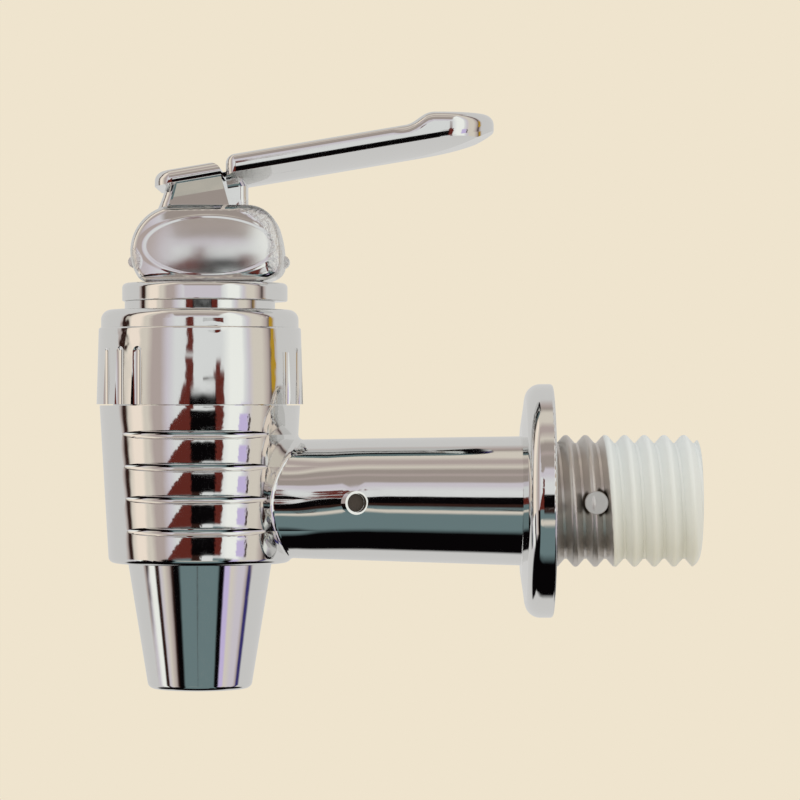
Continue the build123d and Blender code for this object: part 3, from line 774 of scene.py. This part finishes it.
# Bands of the room in degrees. Round the upright axis they run from behind the tap at -180, past
# the left at -90, the camera at 0 and the right at 90. Round the pipe's axis they run from behind
# and below at -180, past the floor at -90, the camera at 0 and the ceiling at 90.
EYE_LEVEL_BANDS = (
    (-180, "room"), (-104, "room"), (-99, "taupe_wall"), (-96, "dark_gap"), (-91, "dark_gap"),
    (-88, "beige_wall"), (-80, "cream_card"), (-68, "cream_card"), (-64, "beige_wall"),
    (-59, "beige_wall"), (-52, "taupe_wall"), (-42, "taupe_wall"), (-34, "lilac_wall"),
    (-24, "wall"), (28, "wall"), (38, "window"), (52, "window"), (55, "wall"),
    (60, "lilac_wall"), (66, "beige_wall"), (78, "beige_wall"), (86, "taupe_wall"),
    (92, "dark_gap"), (96, "taupe_wall"), (101, "room"), (180, "room"),
)
TABLE_LEVEL_BANDS = (
    (-180, "room"), (-104, "room"), (-95, "lilac_wall"), (-87, "window"), (-79, "window"),
    (-76, "dark_gap"), (-70, "dark_gap"), (-67, "lilac_wall"), (-58, "beige_wall"),
    (-50, "taupe_wall"), (-46, "dark_gap"), (-42, "black_cloth"), (-33, "black_cloth"),
    (-29, "table"), (33, "table"), (36, "black_cloth"), (43, "black_cloth"), (46, "lilac_card"),
    (53, "lilac_card"), (57, "beige_wall"), (72, "lilac_wall"), (82, "lilac_wall"),
    (88, "taupe_wall"), (91, "navy_strip"), (96, "navy_strip"), (100, "room"), (180, "room"),
)
OVERHEAD_BANDS = (
    (-180, "room"), (-116, "room"), (-110, "black_cloth"), (-70, "black_cloth"), (-60, "table"),
    (-33, "table"), (-30, "beige_wall"), (-27, "beige_wall"), (-25, "table"), (-20.5, "table"),
    (-19, "dark_gap"), (-14, "dark_gap"), (-10, "black_cloth"), (-3.5, "black_cloth"),
    (-1.5, "wall"), (10, "wall"), (20, "lilac_wall"), (24, "lilac_wall"), (27, "shade"),
    (37, "shade"), (41, "taupe_wall"), (45, "shade"), (51, "shade"), (58, "beige_wall"),
    (66, "taupe_wall"), (72, "taupe_wall"), (80, "beige_wall"), (92, "beige_wall"),
    (99, "shade"), (105, "taupe_wall"), (116, "room"), (180, "room"),
)
# Cards and posts that stand before those bands: left, right, bottom and top edges in degrees, how
# far the left edge leans out for each degree down, and the softness of the edges
STANDING_PIECES = (
    ("brown_post", -15.5, -7.0, -16.0, 0.5, 1.5, 0.8),
    ("brown_post", 19.0, 30.0, -14.0, 2.5, 0.0, 0.8),
    ("black_cloth", -8.0, 21.0, -14.0, -1.2, 0.0, 0.8),
    ("wall", 4.0, 19.0, -18.5, -14.2, 0.0, 0.5),
    ("brown_post", -13.0, -4.0, -0.5, 5.2, 0.0, 0.6),
    ("brown_post", -11.5, -4.5, 6.0, 14.0, 0.0, 0.6),
    ("brown_post", 21.0, 26.5, -0.5, 4.6, 0.0, 0.7),
    ("dark_gap", 6.0, 22.0, 0.9, 1.3, 0.0, 0.15),
    ("lilac_card", 50.0, 60.0, -13.5, -3.0, 0.0, 0.8),
    ("dark_gap", 60.5, 63.0, -13.5, -3.0, 0.0, 0.5),
    ("olive_strip", 90.5, 97.0, -0.5, 14.0, 0.0, 0.6),
    ("dark_gap", -1.4, -0.6, -26.0, -20.5, 0.0, 0.5),
)
# How many degrees down a leaning edge is followed
LEAN_REACH = 40.0


def add_bands(tree, angle, bands, studio):
    """The colours of a row of bands at an angle from -180 to 180 degrees."""
    share = add_node(
        tree, MAP_RANGE, {"Value": angle, "From Min": -HALF_TURN, "From Max": HALF_TURN}
    )
    colours = add_node(tree, "ShaderNodeValToRGB", {"Fac": share}, output="Color")
    elements = colours.node.color_ramp.elements
    while len(elements) < len(bands):
        elements.new(0.5)
    # A ramp sorts its elements as they move, so all are placed before any is coloured
    for element, (degrees, _) in zip(elements, bands):
        element.position = (degrees + HALF_TURN) / (2 * HALF_TURN)
    for element, (_, name) in zip(elements, bands):
        element.color = opaque(getattr(studio, name))
    return colours


def add_standing_piece(tree, room, around, height, piece, studio):
    """Lays a card or post over the colours of the room."""
    name, left, right, bottom, top, lean, edge = piece
    leaned = around
    if lean:
        leaned = add_node(
            tree, MATH, {0: height, 1: -lean, 2: around}, operation="MULTIPLY_ADD"
        )
    inside_left = add_node(
        tree,
        MAP_RANGE,
        {"Value": leaned, "From Min": left - edge, "From Max": left + edge},
        interpolation_type="SMOOTHSTEP",
    )
    across = between(tree, around, left - LEAN_REACH * lean - edge, right, edge)
    upright = between(tree, height, bottom, top, min(edge, (top - bottom) / 2))
    mask = add_node(tree, MATH, {0: across, 1: upright}, operation="MULTIPLY")
    mask = add_node(tree, MATH, {0: mask, 1: inside_left}, operation="MULTIPLY")
    tint = opaque(getattr(studio, name))
    return add_node(tree, MIX, {0: mask, UNDER: room, OVER: tint}, **OF_COLOURS)


# The floor's sheet, and how much of its tone near the tap is paper and not an even glow
FLOOR_RADIUS = 3.0
FLOOR_SIDES = 96
PAPER = patch((CAD_MIDDLE[0] / MM, 0, 0), (130, 130, None), 0.35)
PAPER_SHARE = 0.6
# The room: slow ripples of its edges and turned edges of its posts, as a noise's scale and degrees
RIPPLE_SCALE, RIPPLE_DEGREES = 5.0, 4.0
TURNED_SCALE, TURNED_DEGREES = 26.0, 7.0
UNEVENNESS_DETAIL = 2.0
# The heights in degrees between which the room gives way to the table, and the table to cloth
TABLE_EDGE = (-15.0, -16.0)
CLOTH_EDGE = (-33.0, -38.0)
# Level with the tap the ceiling's bands keep to a narrow strip, above and below to a wide one, as
# shares of the way along X. Level is a share of the way along Z.
LEVEL = (-0.42, 0.26)
LEVEL_EDGE = 0.01
NARROW_STRIP, WIDE_STRIP = 0.11, 0.4
STRIP_EDGE = 0.04
# Soft lamps: name, place and size in metres, and power in watts
LAMPS = (
    ("soft_key", (-0.35, -0.45, 0.55), 0.5, 1.2),
    ("soft_fill", (0.5, -0.35, 0.25), 0.5, 0.5),
)
# The camera looks straight at the front from this place
CAMERA_X, CAMERA_Z = -18.3 * MM, 12.1 * MM
SENSOR_WIDTH = 36.0


class TAP_OT_set_stage(bpy.types.Operator):
    """Floor, room, lamps and camera"""

    bl_idname = "tap.set_stage"
    bl_label = "Set Stage"

    def execute(self, context):
        studio = context.scene.tap_studio
        self.add_floor(context, studio)
        self.add_room(context, studio)
        self.add_lamps(context)
        self.add_camera(context, studio)
        context.scene.view_settings.view_transform = "Standard"
        return {"FINISHED"}

    def add_floor(self, context, studio):
        bpy.ops.object.select_all(action="DESELECT")
        bpy.ops.mesh.primitive_circle_add(
            vertices=FLOOR_SIDES,
            radius=FLOOR_RADIUS,
            fill_type="NGON",
            location=(0, 0, SPOUT_END_Z - studio.floor_drop),
        )
        floor = context.object
        floor.name = "studio_floor"
        bpy.ops.object.transform_apply(location=True)
        # Matt paper round the tap, which keeps its shadow, and an even tone further out
        material, tree = new_material("matt_studio_paper")
        tint = opaque(studio.background)
        place = add_node(tree, "ShaderNodeTexCoord", output="Object")
        close = near(tree, place, *PAPER)
        paper = add_node(tree, "ShaderNodeBsdfDiffuse", {"Color": tint})
        even = add_node(tree, "ShaderNodeEmission", {"Color": tint, "Strength": 1.0})
        seen = add_node(tree, "ShaderNodeLightPath", output="Is Camera Ray")
        share = add_node(
            tree, MATH, {0: close, 1: -PAPER_SHARE, 2: 1.0}, operation="MULTIPLY_ADD"
        )
        share = add_node(tree, MATH, {0: share, 1: seen}, operation="MULTIPLY")
        both = add_node(tree, "ShaderNodeMixShader", {0: share, 1: paper, 2: even})
        add_node(tree, "ShaderNodeOutputMaterial", {"Surface": both})
        floor.data.materials.append(material)
        floor.visible_glossy = False

    def add_room(self, context, studio):
        world = bpy.data.worlds.new("studio_room")
        context.scene.world = world
        world.use_nodes = True
        tree = world.node_tree
        tree.nodes.clear()
        way, along = add_place(tree, "Generated")
        front = add_node(tree, MATH, {0: along["Y"], 1: -1.0}, operation="MULTIPLY")
        around = add_node(tree, MATH, {0: along["X"], 1: front}, operation="ARCTAN2")
        over = add_node(tree, MATH, {0: along["Z"], 1: front}, operation="ARCTAN2")
        height = add_node(tree, MATH, {0: along["Z"]}, operation="ARCSINE")
        # A slow ripple keeps the edges of the room from running dead straight
        ripple = self.add_unevenness(tree, way, RIPPLE_SCALE, RIPPLE_DEGREES)
        around, over = [
            add_node(
                tree, MATH, {0: angle, 1: math.degrees(1.0), 2: ripple}, operation="MULTIPLY_ADD"
            )
            for angle in (around, over)
        ]
        height = add_node(tree, MATH, {0: height, 1: math.degrees(1.0)}, operation="MULTIPLY")

        room = add_bands(tree, around, EYE_LEVEL_BANDS, studio)
        table = add_bands(tree, around, TABLE_LEVEL_BANDS, studio)
        cloth = opaque(studio.black_cloth)
        for lower, (start, end) in ((table, TABLE_EDGE), (cloth, CLOTH_EDGE)):
            share = add_node(
                tree, MAP_RANGE, {"Value": height, "From Min": start, "From Max": end}
            )
            room = add_node(tree, MIX, {0: share, UNDER: room, OVER: lower}, **OF_COLOURS)
        overhead = add_bands(tree, over, OVERHEAD_BANDS, studio)
        to_side = self.find_sides(tree, along)
        room = add_node(tree, MIX, {0: to_side, UNDER: overhead, OVER: room}, **OF_COLOURS)
        # The cards and posts have uneven, turned edges
        turned = self.add_unevenness(tree, way, TURNED_SCALE, TURNED_DEGREES)
        turned = add_node(tree, MATH, {0: around, 1: turned}, operation="ADD")
        for piece in STANDING_PIECES:
            room = add_standing_piece(tree, room, turned, height, piece, studio)

        # Only polished surfaces see the room. Everything else is lit evenly before a plain wall.
        light = opaque(studio.daylight)
        for ray, tone in (
            ("Is Glossy Ray", room),
            ("Is Camera Ray", opaque(studio.background)),
        ):
            seen = add_node(tree, "ShaderNodeLightPath", output=ray)
            light = add_node(tree, MIX, {0: seen, UNDER: light, OVER: tone}, **OF_COLOURS)
        background = add_node(tree, "ShaderNodeBackground", {"Color": light, "Strength": 1.0})
        add_node(tree, "ShaderNodeOutputWorld", {"Surface": background})

    def add_unevenness(self, tree, way, scale, degrees):
        """A noise of this scale, spread over so many degrees about 0."""
        noise = add_node(
            tree, NOISE, {"Vector": way, "Scale": scale, "Detail": UNEVENNESS_DETAIL}
        )
        return add_node(
            tree, MATH, {0: noise, 1: degrees, 2: -degrees / 2}, operation="MULTIPLY_ADD"
        )

    def find_sides(self, tree, along):
        """0 within the ceiling's strip of bands, and 1 to either side of it."""
        level = between(tree, along["Z"], *LEVEL, LEVEL_EDGE)
        strip = add_node(
            tree,
            MATH,
            {0: level, 1: NARROW_STRIP - WIDE_STRIP, 2: WIDE_STRIP},
            operation="MULTIPLY_ADD",
        )
        outward = add_node(tree, MATH, {0: along["X"]}, operation="ABSOLUTE")
        outward = add_node(tree, MATH, {0: outward, 1: strip}, operation="SUBTRACT")
        return add_node(
            tree, MAP_RANGE, {"Value": outward, "From Min": 0.0, "From Max": STRIP_EDGE}
        )

    def add_lamps(self, context):
        for name, place, size, power in LAMPS:
            lamp = bpy.data.lights.new(name, "AREA")
            lamp.shape = "SQUARE"
            lamp.size = size
            lamp.energy = power
            lamp_object = bpy.data.objects.new(name, lamp)
            context.scene.collection.objects.link(lamp_object)
            lamp_object.location = place
            aim = Vector(CAD_MIDDLE) - Vector(place)
            lamp_object.rotation_euler = aim.to_track_quat("-Z", "Y").to_euler()
            lamp_object.visible_glossy = False

    def add_camera(self, context, studio):
        camera = bpy.data.cameras.new("front_camera")
        camera.lens = studio.lens
        camera.sensor_width = SENSOR_WIDTH
        camera_object = bpy.data.objects.new("front_camera", camera)
        context.scene.collection.objects.link(camera_object)
        camera_object.location = (CAMERA_X, -studio.distance, CAMERA_Z)
        camera_object.rotation_euler = (math.radians(90), 0.0, 0.0)
        context.scene.camera = camera_object


OPERATORS = (
    TAP_OT_plate_disc,
    TAP_OT_plate_bonnet,
    TAP_OT_plate_lever,
    TAP_OT_plate_body,
    TAP_OT_wind_spring,
    TAP_OT_finish_steel,
    TAP_OT_finish_seals,
    TAP_OT_set_stage,
)


class TAP_PT_finishes(bpy.types.Panel):
    """Lists the tap's finishes and its studio"""

    bl_label = "Dispenser Tap"
    bl_idname = "TAP_PT_finishes"
    bl_space_type = "VIEW_3D"
    bl_region_type = "UI"
    bl_category = "Tap"

    def draw(self, context):
        for operator in OPERATORS:
            self.layout.operator(operator.bl_idname)
        for group in (context.scene.tap_finishes, context.scene.tap_studio):
            box = self.layout.box()
            for name in group.__annotations__:
                box.prop(group, name)


CLASSES = (TapFinishes, TapStudio, *OPERATORS, TAP_PT_finishes)


def register():
    for cls in CLASSES:
        bpy.utils.register_class(cls)
    bpy.types.Scene.tap_finishes = PointerProperty(type=TapFinishes)
    bpy.types.Scene.tap_studio = PointerProperty(type=TapStudio)


def unregister():
    del bpy.types.Scene.tap_studio
    del bpy.types.Scene.tap_finishes
    for cls in reversed(CLASSES):
        bpy.utils.unregister_class(cls)


def main():
    register()
    bpy.ops.tap.plate_disc()
    bpy.ops.tap.plate_bonnet()
    bpy.ops.tap.plate_lever()
    bpy.ops.tap.plate_body()
    bpy.ops.tap.wind_spring()
    bpy.ops.tap.finish_steel()
    bpy.ops.tap.finish_seals()
    bpy.ops.tap.set_stage()


if __name__ == "__main__":
    main()
